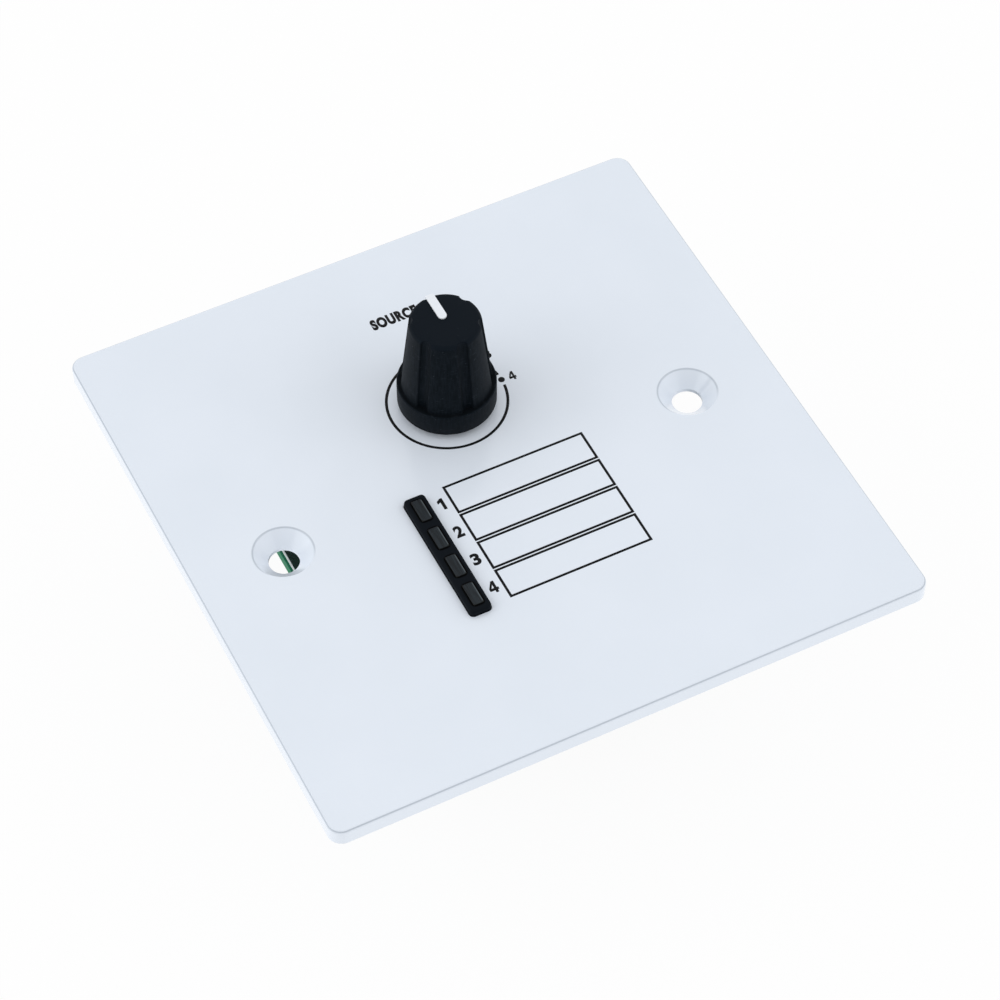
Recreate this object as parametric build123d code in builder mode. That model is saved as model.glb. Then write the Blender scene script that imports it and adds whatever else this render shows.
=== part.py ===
from build123d import *
import math
import os

# Wall-mounted audio zone controller. Millimetres, +Z out of the wall towards the user,
# +Y up the wall, origin midway between the two fixing holes on the plate's back face.

# Faceplate
plate_side = 86.0
plate_thick = 2.5
plate_corner_r = 2.0
plate_edge_r = 0.4
fixing_pitch = 60.3
fixing_hole_r = 2.1
fixing_sink_r = 4.1
fixing_sink_angle = 90.0

# Clearances shared by every fit
running_gap = 0.04
seat_gap = 0.05
hole_gap = 0.1
sweep_gap = 0.3

# Selector knob: its axis, then its outside
knob_x = 0.3
knob_y = 13.3
knob_lift = 1.1
knob_height = 15.6
skirt_height = 2.9
skirt_wall = 0.6
skirt_edge_r = 0.2
ledge_width = 0.45
body_top_r = 4.9
body_edge_r = 0.6
knob_roof = 2.4
flute_count = 6
flute_width = 1.5
flute_foot_depth = 0.9
flute_head_depth = 0.55
pointer_width = 1.2
pointer_start = 0.92
pointer_proud = 0.2
pointer_depth = 0.8
pointer_drop = 3.0

# Switch spindle, bushing and the nut that clamps it to the plate
shaft_r = 3.0
shaft_flat = 1.5
collar_r = 4.2
collar_thick = 0.6
drive_r = 2.0
drive_flat = 0.6
pivot_r = 1.5
pivot_end_gap = 0.4
bushing_wall = 0.46
bushing_proud = 2.1
bushing_chamfer = 0.4
flange_thick = 1.6
lug_r = 1.2
lug_height = 1.1
lug_offset = 6.6
nut_flats = 10.0
nut_thick = 2.0
nut_bevel = 0.35
washer_r = 5.2
washer_thick = 0.4
washer_slots = 8
washer_slot_width = 0.8
washer_slot_depth = 0.6

# Switch case: notched ring, stop ribs, base and rivets
click_angle = 30.0
positions = 4
poles = 2
land_r = 7.0
notch_r = 1.3
notch_depth = 0.4
case_wall = 1.1
case_corner_r = 2.0
base_thick = 2.0
foot_height = 0.5
foot_r = 0.9
stop_rib_width = 2.0
rivet_r = 0.8
rivet_inset = 1.6
rivet_head_r = 1.3
rivet_head_height = 0.4

# Rotor with its stop lug, detents and wipers
rotor_gap = 1.5
rotor_neck_r = 4.8
rotor_wall = 0.15
stop_lug_width = 3.0
ball_r = 1.2
spring_seat_r = 2.5
spring_r = 0.8
spring_wire_r = 0.15
spring_turns = 4
wiper_thick = 0.2
wiper_width = 1.3
wiper_room = 1.0

# Fixed contacts of the switch
common_gap = 1.0
common_width = 1.2
common_span = 110.0
pad_thick = 0.2
pad_length = 1.6
pad_width = 1.6
pad_gap = 0.7
pin_width = 0.8
pin_thick = 0.4
pin_tail = 1.0

# Circuit board and the two standoffs at its lower corners
board_drop = 11.1
board_side = 54.0
board_thick = 1.6
board_corner_r = 1.5
standoff_inset = 4.5
standoff_flats = 5.5
spigot_r = 2.0
spigot_height = 1.2
screw_r = 1.5
screw_length = 5.0
screw_head_r = 2.75
screw_head_height = 1.8
screw_head_edge_r = 0.7
screw_recess_width = 0.7
screw_recess_length = 2.8
screw_recess_depth = 1.0

# Lamp strip
led_x = -11.3
led_y = -10.37
led_width = 3.1
led_length = 20.6
led_rise = 1.0
led_corner_r = 0.6
led_edge_r = 0.4
lens_count = 4
lens_pitch = 5.08
lens_width = 1.5
lens_length = 3.6
lens_depth = 5.0
lens_proud = 0.15
lens_edge_r = 0.12
lead_side = 0.5
lead_spacing = 2.54
lead_hole_r = 0.42

# Eight-way modular jack under the board, its mouth flush with the board's lower edge
jack_x = 5.0
jack_width = 15.4
jack_height = 13.3
jack_depth = 18.0
jack_floor = 1.0
jack_back_wall = 1.5
jack_edge_r = 0.4
window_margin = 1.6
mouth_width = 11.8
mouth_height = 7.8
latch_width = 6.2
latch_height = 1.5
thumb_width = 3.4
thumb_height = 1.3
thumb_depth = 2.0
peg_r = 1.6
peg_spacing = 11.43
peg_lead = 3.6
carrier_start = 2.1
carrier_slab = 0.9
carrier_foot_length = 7.85
carrier_back_length = 3.85
carrier_slot_start = 2.6
carrier_slot_floor = 0.25
wire_count = 8
wire_pitch = 1.016
wire_side = 0.35
wire_bend_r = 0.45
wire_slot_width = 0.5
wire_front = 3.2
wire_tip_gap = 3.6
wire_tip_height = 4.2
snap_lead = 1.0
snap_length = 2.0
snap_height = 1.6
snap_inset = 0.6
tail_inset = 0.8
tail_step = 2.54

# Chip resistors on the rear of the board: one beside each lamp, the rest below the switch
chip_length = 2.0
chip_width = 1.25
chip_thick = 0.55
chip_offset = 6.0
ladder_count = 3
ladder_pitch = 4.5
ladder_offset = 10.5

# Levels and radii worked out from the sizes above
bushing_r = shaft_r + running_gap + bushing_wall
nut_corner_r = nut_flats / 2 / math.cos(math.pi / 6)
nut_top = plate_thick + washer_thick + nut_thick
bushing_top = nut_top + bushing_proud
knob_bottom = plate_thick + knob_lift
knob_top = knob_bottom + knob_height
ledge_z = knob_bottom + skirt_height
nut_room_r = nut_corner_r + sweep_gap
skirt_r = nut_room_r + skirt_wall
body_base_r = skirt_r - ledge_width
bore_top = knob_top - knob_roof
shaft_top = bore_top - sweep_gap
case_side = 2 * (land_r + notch_depth + case_wall)
rivet_pitch = case_side - 2 * rivet_inset
base_bottom = foot_height - board_drop
base_top = base_bottom + base_thick
collar_top = -flange_thick - hole_gap
rotor_top = collar_top - collar_thick
rotor_bottom = base_top + wiper_room
rotor_r = land_r - rotor_gap
ball_z = (rotor_top + rotor_bottom) / 2
ball_track_r = land_r - sweep_gap - ball_r
rim_half = ball_r + seat_gap + rotor_wall
stop_rib_r = rotor_neck_r + sweep_gap
stop_lug_reach = math.sqrt((land_r - sweep_gap) ** 2 - (stop_lug_width / 2) ** 2)
common_in_r = pivot_r + common_gap
common_out_r = common_in_r + common_width
contact_r = common_out_r + pad_gap + pad_length / 2
board_top = -board_drop
board_bottom = board_top - board_thick
tail_end = board_bottom - pin_tail
standoff_x = board_side / 2 - standoff_inset
led_top = plate_thick + led_rise
lens_bottom = led_top - lens_depth
carrier_width = mouth_width - 2 * seat_gap
carrier_top = jack_floor + seat_gap + carrier_slab
carrier_end = jack_depth - jack_back_wall - seat_gap
carrier_foot_start = carrier_end - carrier_foot_length
carrier_back_start = carrier_end - carrier_back_length
snap_depth = carrier_back_start + snap_lead + snap_length / 2
mouth_mid = jack_floor + mouth_height / 2
tail_depth = carrier_foot_start + tail_inset
peg_depth = carrier_foot_start - peg_lead
wire_tip_depth = carrier_back_start - wire_tip_gap
jack_front = -board_side / 2
wire_level = jack_floor + seat_gap + carrier_slot_floor + wire_side / 2

# Planes: flat across the switch axis, upright through it, and the mouth of the jack
switch_plane = Plane(origin=(knob_x, knob_y, 0))
radial_plane = Plane(origin=(knob_x, knob_y, 0), x_dir=(1, 0, 0), z_dir=(0, -1, 0))
switch_axis = Axis((knob_x, knob_y, 0), (0, 0, 1))
lamp_plane = Plane(origin=(led_x, led_y, 0))
jack_plane = Plane(origin=(jack_x, jack_front, board_bottom), x_dir=(1, 0, 0), z_dir=(0, 1, 0))
snap_plane = Plane(
    origin=(jack_x, jack_front + snap_depth, board_bottom - mouth_mid), x_dir=(0, 1, 0), z_dir=(1, 0, 0)
)

# Angles: the first position is the rest pose, and later ones follow clockwise
first_contact = (positions - 1) / 2 * click_angle
pole_angles = [pole * 360 / poles for pole in range(poles)]
contact_angles = [
    pole + first_contact - step * click_angle for pole in pole_angles for step in range(positions)
]
lug_rest_angle = 270.0
lug_last_angle = lug_rest_angle - (positions - 1) * click_angle
stop_half_angle = math.degrees(
    math.asin(stop_lug_width / 2 / stop_rib_r)
    + math.asin(stop_rib_width / 2 / stop_rib_r)
    + sweep_gap / stop_rib_r
)
stop_angles = (lug_rest_angle + stop_half_angle, lug_last_angle - stop_half_angle)

# Places that several pieces share
standoff_places = [(side * standoff_x, -standoff_x) for side in (-1, 1)]
lens_places = [(0, ((lens_count - 1) / 2 - k) * lens_pitch) for k in range(lens_count)]
lead_places = [(0, y + side * lead_spacing / 2) for _, y in lens_places for side in (-1, 1)]
wire_offsets = [(k - (wire_count - 1) / 2) * wire_pitch for k in range(wire_count)]
tail_places = [(x, tail_depth + k % 2 * tail_step) for k, x in enumerate(wire_offsets)]
peg_places = [(side * peg_spacing / 2, peg_depth) for side in (-1, 1)]
chip_places = [(led_x - chip_offset, led_y + y) for _, y in lens_places]
chip_places += [
    (knob_x + (k - (ladder_count - 1) / 2) * ladder_pitch, knob_y - ladder_offset)
    for k in range(ladder_count)
]


def save(part, name):
    """Labels a finished piece and writes it as its own file."""
    part.label = name
    export_step(part, f"parts/{name}.step")


def d_section(radius, flat):
    """Round section with one flat cut on its lower side."""
    with BuildSketch() as section:
        Circle(radius)
        with Locations((0, -radius)):
            Rectangle(2 * radius, 2 * flat, mode=Mode.SUBTRACT)
    return section.sketch


def pointer_shape(gap):
    """Bar across the knob's top and down its rim, grown by a gap on every side."""
    slope = (body_base_r - body_top_r) / (knob_height - skirt_height)
    foot_z = knob_top - pointer_drop - gap
    foot_reach = body_top_r + slope * (knob_top - foot_z) + gap
    inner_r = body_top_r - pointer_depth - gap
    under_z = knob_top - pointer_depth - gap
    over_z = knob_top + pointer_proud
    half = pointer_width / 2 + gap
    with BuildPart() as shape:
        with BuildSketch(radial_plane):
            with BuildLine():
                Polyline(
                    (0, under_z),
                    (0, over_z),
                    (body_top_r - slope * pointer_proud + gap, over_z),
                    (foot_reach, foot_z),
                    (inner_r, foot_z),
                    (inner_r, under_z),
                    close=True,
                )
            rim = make_face().vertices().group_by(Axis.Z)[-1].sort_by(Axis.X)[-1]
            fillet(rim, body_edge_r)
        revolve(axis=switch_axis)
        with BuildSketch(switch_plane.offset(foot_z)):
            with Locations((0, pointer_start)):
                Circle(half)
                Rectangle(2 * half, skirt_r, align=(Align.CENTER, Align.MIN))
        extrude(amount=over_z - foot_z, mode=Mode.INTERSECT)
    return shape.part


os.makedirs("parts", exist_ok=True)

# Faceplate: flat plate with a softened front edge, two countersunk fixing holes, the bushing
# hole, the lamp slot, and blind seats behind for the locating lug and the standoffs
with BuildPart() as faceplate:
    with BuildSketch():
        RectangleRounded(plate_side, plate_side, plate_corner_r)
    extrude(amount=plate_thick)
    fillet(faceplate.faces().sort_by(Axis.Z)[-1].edges(), plate_edge_r)
    with Locations((0, 0, plate_thick)):
        with GridLocations(fixing_pitch, 0, 2, 1):
            CounterSinkHole(fixing_hole_r, fixing_sink_r, counter_sink_angle=fixing_sink_angle)
    with Locations((knob_x, knob_y, plate_thick)):
        Hole(bushing_r + hole_gap)
    with BuildSketch(lamp_plane):
        slot_grow = 2 * hole_gap
        RectangleRounded(led_width + slot_grow, led_length + slot_grow, led_corner_r + hole_gap)
    extrude(amount=plate_thick, mode=Mode.SUBTRACT)
    with BuildSketch(switch_plane):
        with Locations((-lug_offset, 0)):
            Circle(lug_r + hole_gap)
    extrude(amount=lug_height + hole_gap, mode=Mode.SUBTRACT)
    with BuildSketch():
        with Locations(*standoff_places):
            Circle(spigot_r + seat_gap)
    extrude(amount=spigot_height + seat_gap, mode=Mode.SUBTRACT)
save(faceplate.part, "faceplate")

# Knob: skirt and tapered body turned in one profile, flutes that run out deeper at the foot,
# a slot for the pointer, and a stepped underside that clears the nut and grips the D-shaft
with BuildPart() as knob_body:
    with BuildSketch(radial_plane):
        with BuildLine():
            Polyline(
                (0, knob_bottom),
                (skirt_r, knob_bottom),
                (skirt_r, ledge_z),
                (body_base_r, ledge_z),
                (body_top_r, knob_top),
                (0, knob_top),
                close=True,
            )
        make_face()
    revolve(axis=switch_axis)
    rings = knob_body.edges().filter_by(GeomType.CIRCLE)
    fillet(rings.group_by(SortBy.RADIUS)[-1].sort_by(Axis.Z)[-1], skirt_edge_r)
    fillet(knob_body.edges().filter_by(GeomType.CIRCLE).sort_by(Axis.Z)[-1], body_edge_r)
    for flute in range(flute_count):
        flute_plane = switch_plane.rotated((0, 0, 90 + flute * 360 / flute_count))
        with BuildSketch(flute_plane.offset(ledge_z)):
            with Locations((body_base_r - flute_foot_depth + flute_width / 2, 0)):
                Circle(flute_width / 2)
        with BuildSketch(flute_plane.offset(knob_top)):
            with Locations((body_top_r - flute_head_depth + flute_width / 2, 0)):
                Circle(flute_width / 2)
        loft(mode=Mode.SUBTRACT)
    add(pointer_shape(seat_gap), mode=Mode.SUBTRACT)
    with BuildSketch(switch_plane.offset(knob_bottom)):
        Circle(nut_room_r)
    extrude(amount=nut_top + sweep_gap - knob_bottom, mode=Mode.SUBTRACT)
    with BuildSketch(switch_plane.offset(knob_bottom)):
        Circle(bushing_r + sweep_gap)
    extrude(amount=bushing_top + sweep_gap - knob_bottom, mode=Mode.SUBTRACT)
    with BuildSketch(switch_plane.offset(knob_bottom)):
        add(d_section(shaft_r + seat_gap, shaft_flat))
    extrude(amount=bore_top - knob_bottom, mode=Mode.SUBTRACT)
save(knob_body.part, "knob_body")

# Pointer: moulded insert that lies in the knob's top and rim
knob_pointer = pointer_shape(0)
save(knob_pointer, "knob_pointer")

# Bushing: die-cast square flange behind the plate, a barrel through it and a locating lug
with BuildPart() as switch_bushing:
    with BuildSketch(switch_plane):
        RectangleRounded(case_side, case_side, case_corner_r)
        with GridLocations(rivet_pitch, rivet_pitch, 2, 2):
            Circle(rivet_r + seat_gap, mode=Mode.SUBTRACT)
    extrude(amount=-flange_thick)
    with BuildSketch(switch_plane):
        Circle(bushing_r)
    extrude(amount=bushing_top)
    chamfer(switch_bushing.edges().sort_by(Axis.Z)[-1], bushing_chamfer)
    with BuildSketch(switch_plane):
        with Locations((-lug_offset, 0)):
            Circle(lug_r)
    extrude(amount=lug_height)
    with BuildSketch(switch_plane.offset(-flange_thick)):
        Circle(shaft_r + running_gap)
    extrude(amount=flange_thick + bushing_top, mode=Mode.SUBTRACT)
save(switch_bushing.part, "switch_bushing")

# Lock washer: thin ring with notches round its bore
with BuildPart() as lock_washer:
    with BuildSketch(switch_plane.offset(plate_thick)):
        Circle(washer_r)
        Circle(bushing_r + seat_gap, mode=Mode.SUBTRACT)
        with PolarLocations(bushing_r, washer_slots):
            Rectangle(2 * washer_slot_depth, washer_slot_width, mode=Mode.SUBTRACT)
    extrude(amount=washer_thick)
save(lock_washer.part, "lock_washer")

# Nut: thin hexagon with its upper corners bevelled
with BuildPart() as switch_nut:
    with BuildSketch(switch_plane.offset(nut_top - nut_thick)):
        RegularPolygon(nut_flats / 2, 6, major_radius=False)
        Circle(bushing_r + seat_gap, mode=Mode.SUBTRACT)
    extrude(amount=nut_thick)
    with BuildSketch(radial_plane):
        with BuildLine():
            Polyline(
                (0, nut_top - nut_thick),
                (nut_corner_r, nut_top - nut_thick),
                (nut_corner_r, nut_top - nut_bevel),
                (nut_flats / 2, nut_top),
                (0, nut_top),
                close=True,
            )
        make_face()
    revolve(axis=switch_axis, mode=Mode.INTERSECT)
save(switch_nut.part, "switch_nut")

# Shaft: D-shaft above, a collar that the flange holds in, a drive section in the rotor and a
# pivot that turns in the base
with BuildPart() as switch_shaft:
    with BuildSketch(switch_plane.offset(bushing_top)):
        Circle(shaft_r)
    extrude(amount=collar_top - bushing_top)
    with BuildSketch(switch_plane.offset(bushing_top)):
        add(d_section(shaft_r, shaft_flat))
    extrude(amount=shaft_top - bushing_top)
    with BuildSketch(switch_plane.offset(collar_top)):
        Circle(collar_r)
    extrude(amount=-collar_thick)
    with BuildSketch(switch_plane.offset(rotor_top)):
        add(d_section(drive_r, drive_flat))
    extrude(amount=rotor_bottom - rotor_top)
    with BuildSketch(switch_plane.offset(rotor_bottom)):
        Circle(pivot_r)
    extrude(amount=base_bottom + pivot_end_gap - rotor_bottom)
save(switch_shaft.part, "switch_shaft")

# Case ring: square outside, a notched bore for the clicks, and two ribs that end the travel
with BuildPart() as switch_housing:
    with BuildSketch(switch_plane.offset(-flange_thick)):
        RectangleRounded(case_side, case_side, case_corner_r)
        Circle(land_r, mode=Mode.SUBTRACT)
        with PolarLocations(land_r + notch_depth - notch_r, round(360 / click_angle)):
            Circle(notch_r, mode=Mode.SUBTRACT)
        with GridLocations(rivet_pitch, rivet_pitch, 2, 2):
            Circle(rivet_r + seat_gap, mode=Mode.SUBTRACT)
    extrude(amount=base_top + flange_thick)
    stop_rib_end = ball_z + rim_half + sweep_gap
    for stop_angle in stop_angles:
        with BuildSketch(switch_plane.rotated((0, 0, stop_angle)).offset(-flange_thick)):
            with Locations((stop_rib_r, 0)):
                rib_length = land_r + notch_depth + case_wall / 2 - stop_rib_r
                Rectangle(rib_length, stop_rib_width, align=(Align.MIN, Align.CENTER))
        extrude(amount=stop_rib_end + flange_thick)
save(switch_housing.part, "switch_housing")

# Rotor: stepped drum with a stop lug on top and a blind bore each side for spring and ball
with BuildPart() as switch_rotor:
    with BuildSketch(switch_plane.offset(rotor_bottom)):
        Circle(rotor_neck_r)
    extrude(amount=rotor_top - rotor_bottom)
    with BuildSketch(switch_plane.offset(ball_z)):
        Circle(rotor_r)
    extrude(amount=rim_half, both=True)
    with BuildSketch(switch_plane.rotated((0, 0, lug_rest_angle)).offset(ball_z)):
        Rectangle(stop_lug_reach, stop_lug_width, align=(Align.MIN, Align.CENTER))
    extrude(amount=rotor_top - ball_z)
    for side in (-1, 1):
        bore_plane = Plane(origin=(knob_x, knob_y, ball_z), x_dir=(0, 1, 0), z_dir=(side, 0, 0))
        with BuildSketch(bore_plane.offset(spring_seat_r)):
            Circle(ball_r + seat_gap)
        extrude(amount=land_r, mode=Mode.SUBTRACT)
    with BuildSketch(switch_plane.offset(rotor_bottom)):
        add(d_section(drive_r + seat_gap, drive_flat))
    extrude(amount=rotor_top - rotor_bottom, mode=Mode.SUBTRACT)
save(switch_rotor.part, "switch_rotor")

# Detents: a steel ball each side of the rotor, pushed out by a small coil spring
with BuildPart() as detent_balls:
    with Locations(*[(knob_x + side * ball_track_r, knob_y, ball_z) for side in (-1, 1)]):
        Sphere(ball_r)
save(detent_balls.part, "detent_balls")

spring_length = ball_track_r - ball_r - spring_seat_r - 2 * spring_wire_r
with BuildPart() as detent_springs:
    for side in (-1, 1):
        spring_start = knob_x + side * (spring_seat_r + spring_wire_r)
        with BuildLine():
            coil = Helix(
                pitch=spring_length / spring_turns,
                height=spring_length,
                radius=spring_r,
                center=(spring_start, knob_y, ball_z),
                direction=(side, 0, 0),
            )
        with BuildSketch(Plane(origin=coil @ 0, z_dir=coil % 0)):
            Circle(spring_wire_r)
        sweep(path=coil, is_frenet=True)
save(detent_springs.part, "detent_springs")

# Wipers: bent spring strips under the rotor, one for each pole, from the common arc to a pad
wiper_high = rotor_bottom - wiper_thick / 2
wiper_low = base_top + pad_thick + hole_gap + wiper_thick / 2
common_mid_r = (common_in_r + common_out_r) / 2
with BuildPart() as wiper_contacts:
    for pole in pole_angles:
        pole_plane = switch_plane.rotated((0, 0, pole + first_contact))
        strip_plane = Plane(origin=pole_plane.origin, x_dir=pole_plane.x_dir, z_dir=-pole_plane.y_dir)
        with BuildSketch(strip_plane):
            with BuildLine():
                Polyline(
                    (common_mid_r, wiper_low),
                    (common_out_r + pad_gap / 4, wiper_high),
                    (contact_r - pad_length / 2 - pad_gap / 4, wiper_high),
                    (contact_r, wiper_low),
                )
            trace(line_width=wiper_thick)
        extrude(amount=wiper_width / 2, both=True)
save(wiper_contacts.part, "wiper_contacts")

# Base: insulating board that closes the case, with the pivot bearing, contact slots and feet
with BuildPart() as switch_base:
    with BuildSketch(switch_plane.offset(base_top)):
        RectangleRounded(case_side, case_side, case_corner_r)
        Circle(pivot_r + running_gap, mode=Mode.SUBTRACT)
        with GridLocations(rivet_pitch, rivet_pitch, 2, 2):
            Circle(rivet_r + seat_gap, mode=Mode.SUBTRACT)
        for pin_r, pin_angles in ((contact_r, contact_angles), (common_mid_r, pole_angles)):
            for angle in pin_angles:
                with PolarLocations(pin_r, 1, start_angle=angle):
                    Rectangle(pin_thick + 2 * seat_gap, pin_width + 2 * seat_gap, mode=Mode.SUBTRACT)
    extrude(amount=-base_thick)
    with BuildSketch(switch_plane.offset(base_bottom)):
        with PolarLocations(land_r + notch_depth, 4):
            Circle(foot_r)
    extrude(amount=-foot_height)
save(switch_base.part, "switch_base")

# Position contacts: a pad on the base for each position of each pole, with a pin to the board
with BuildPart() as position_contacts:
    for angle in contact_angles:
        with BuildSketch(switch_plane.offset(base_top)):
            with PolarLocations(contact_r, 1, start_angle=angle):
                Rectangle(pad_length, pad_width)
        extrude(amount=pad_thick)
        with BuildSketch(switch_plane.offset(base_top)):
            with PolarLocations(contact_r, 1, start_angle=angle):
                Rectangle(pin_thick, pin_width)
        extrude(amount=tail_end - base_top)
save(position_contacts.part, "position_contacts")

# Common contacts: an arc on the base for each pole, with a pin to the board
with BuildPart() as common_contacts:
    for pole in pole_angles:
        with BuildSketch(switch_plane.rotated((0, 0, pole)).offset(base_top)):
            with BuildLine():
                outer = CenterArc((0, 0), common_out_r, -common_span / 2, common_span)
                inner = CenterArc((0, 0), common_in_r, -common_span / 2, common_span)
                Line(outer @ 0, inner @ 0)
                Line(outer @ 1, inner @ 1)
            make_face()
        extrude(amount=pad_thick)
        with BuildSketch(switch_plane.offset(base_top)):
            with PolarLocations(common_mid_r, 1, start_angle=pole):
                Rectangle(pin_thick, pin_width)
        extrude(amount=tail_end - base_top)
save(common_contacts.part, "common_contacts")

# Rivets: four through base, ring and flange, headed under the base
with BuildPart() as switch_rivets:
    with BuildSketch(switch_plane.offset(-hole_gap)):
        with GridLocations(rivet_pitch, rivet_pitch, 2, 2):
            Circle(rivet_r)
    extrude(amount=base_bottom + hole_gap)
    with BuildSketch(switch_plane.offset(base_bottom)):
        with GridLocations(rivet_pitch, rivet_pitch, 2, 2):
            Circle(rivet_head_r)
    extrude(amount=-rivet_head_height)
save(switch_rivets.part, "switch_rivets")

# Circuit board: drilled for the switch pins, lamp leads, jack and screws
with BuildPart() as circuit_board:
    with BuildSketch(Plane.XY.offset(board_top)):
        RectangleRounded(board_side, board_side, board_corner_r)
        with Locations(*standoff_places):
            Circle(screw_r + hole_gap, mode=Mode.SUBTRACT)
        with Locations(*[(led_x + x, led_y + y) for x, y in lead_places]):
            Circle(lead_hole_r, mode=Mode.SUBTRACT)
        with Locations(*[(jack_x + x, jack_front + y) for x, y in tail_places]):
            Circle(wire_side / math.sqrt(2) + hole_gap, mode=Mode.SUBTRACT)
        with Locations(*[(jack_x + x, jack_front + y) for x, y in peg_places]):
            Circle(peg_r + seat_gap, mode=Mode.SUBTRACT)
        with Locations((knob_x, knob_y)):
            for pin_r, pin_angles in ((contact_r, contact_angles), (common_mid_r, pole_angles)):
                for angle in pin_angles:
                    with PolarLocations(pin_r, 1, start_angle=angle):
                        Circle(pin_width / 2 + hole_gap, mode=Mode.SUBTRACT)
    extrude(amount=-board_thick)
save(circuit_board.part, "circuit_board")

# Standoffs: hexagon pillars pressed into the plate's back, tapped for the board screws
with BuildPart() as standoffs:
    with BuildSketch(Plane.XY.offset(board_top)):
        with Locations(*standoff_places):
            RegularPolygon(standoff_flats / 2, 6, major_radius=False)
    extrude(amount=board_drop)
    with BuildSketch():
        with Locations(*standoff_places):
            Circle(spigot_r)
    extrude(amount=spigot_height)
    with BuildSketch(Plane.XY.offset(board_top)):
        with Locations(*standoff_places):
            Circle(screw_r + seat_gap)
    extrude(amount=screw_length, mode=Mode.SUBTRACT)
save(standoffs.part, "standoffs")

# Board screws: pan heads with a cross recess, up through the board into the standoffs
with BuildPart() as board_screws:
    with BuildSketch(Plane.XY.offset(board_bottom)):
        with Locations(*standoff_places):
            Circle(screw_head_r)
    extrude(amount=-screw_head_height)
    fillet(board_screws.edges().group_by(Axis.Z)[0], screw_head_edge_r)
    with BuildSketch(Plane.XY.offset(board_bottom - screw_head_height)):
        with Locations(*standoff_places):
            Rectangle(screw_recess_length, screw_recess_width)
            Rectangle(screw_recess_width, screw_recess_length)
    extrude(amount=screw_recess_depth, mode=Mode.SUBTRACT)
    with BuildSketch(Plane.XY.offset(board_bottom)):
        with Locations(*standoff_places):
            Circle(screw_r)
    extrude(amount=screw_length)
save(board_screws.part, "board_screws")

# Lamp housing: tall black block from the board through the plate, with a well for each lamp
# and two lead holes below each well
with BuildPart() as led_housing:
    with BuildSketch(lamp_plane.offset(board_top)):
        RectangleRounded(led_width, led_length, led_corner_r)
    extrude(amount=led_top - board_top)
    fillet(led_housing.faces().sort_by(Axis.Z)[-1].edges(), led_edge_r)
    with BuildSketch(lamp_plane.offset(led_top)):
        with Locations(*lens_places):
            Rectangle(lens_width + 2 * seat_gap, lens_length + 2 * seat_gap)
    extrude(amount=-lens_depth, mode=Mode.SUBTRACT)
    with BuildSketch(lamp_plane.offset(board_top)):
        with Locations(*lead_places):
            Circle(lead_hole_r)
    extrude(amount=lens_bottom - board_top, mode=Mode.SUBTRACT)
save(led_housing.part, "led_housing")

# Lamps: four rectangular lenses, each a little proud of the housing
for number, place in enumerate(lens_places, start=1):
    with BuildPart() as led_lens:
        with BuildSketch(lamp_plane.offset(lens_bottom)):
            with Locations(place):
                Rectangle(lens_width, lens_length)
        extrude(amount=lens_depth + lens_proud)
        fillet(led_lens.faces().sort_by(Axis.Z)[-1].edges(), lens_edge_r)
    save(led_lens.part, f"led_lens_{number}")

# Lamp leads: two square wires from each lamp down through the board
with BuildPart() as led_leads:
    with BuildSketch(lamp_plane.offset(lens_bottom)):
        with Locations(*lead_places):
            Rectangle(lead_side, lead_side)
    extrude(amount=tail_end - lens_bottom)
save(led_leads.part, "led_leads")

# Jack housing: shell with the plug mouth and latch channel, open below the carrier's foot,
# with a window behind and one in each side for the carrier, and two pegs that locate it in
# the board
with BuildPart() as jack_housing:
    with BuildSketch(jack_plane):
        Rectangle(jack_width, jack_height, align=(Align.CENTER, Align.MIN))
    extrude(amount=jack_depth)
    rear_corners = jack_housing.edges().filter_by(Axis.Z).group_by(Axis.Y)[-1]
    fillet(jack_housing.edges().group_by(Axis.Z)[0] + rear_corners, jack_edge_r)
    with BuildSketch(jack_plane):
        with Locations((0, jack_floor)):
            Rectangle(mouth_width, mouth_height, align=(Align.CENTER, Align.MIN))
    extrude(amount=jack_depth - jack_back_wall, mode=Mode.SUBTRACT)
    latch_start = jack_floor + mouth_height
    with BuildSketch(jack_plane):
        with Locations((0, latch_start)):
            Rectangle(latch_width, latch_height, align=(Align.CENTER, Align.MIN))
        with Locations((0, latch_start + latch_height)):
            Rectangle(thumb_width, thumb_height, align=(Align.CENTER, Align.MIN))
    extrude(amount=carrier_back_start, mode=Mode.SUBTRACT)
    with BuildSketch(jack_plane.offset(thumb_depth)):
        with Locations((0, latch_start)):
            Rectangle(latch_width, latch_height + thumb_height, align=(Align.CENTER, Align.MIN))
    extrude(amount=carrier_back_start - thumb_depth, mode=Mode.SUBTRACT)
    with BuildSketch(jack_plane.offset(carrier_foot_start - seat_gap)):
        Rectangle(mouth_width, jack_floor, align=(Align.CENTER, Align.MIN))
    extrude(amount=jack_depth - jack_back_wall - carrier_foot_start + seat_gap, mode=Mode.SUBTRACT)
    with BuildSketch(jack_plane.offset(jack_depth)):
        with Locations((0, mouth_mid)):
            Rectangle(mouth_width - 2 * window_margin, mouth_height - 2 * window_margin)
    extrude(amount=-jack_back_wall, mode=Mode.SUBTRACT)
    with BuildSketch(snap_plane):
        Rectangle(snap_length + 2 * seat_gap, snap_height + 2 * seat_gap)
    extrude(amount=jack_width / 2, both=True, mode=Mode.SUBTRACT)
    with BuildSketch(Plane.XY.offset(board_bottom)):
        with Locations(*[(jack_x + x, jack_front + y) for x, y in peg_places]):
            Circle(peg_r)
    extrude(amount=board_thick - hole_gap)
save(jack_housing.part, "jack_housing")

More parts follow.
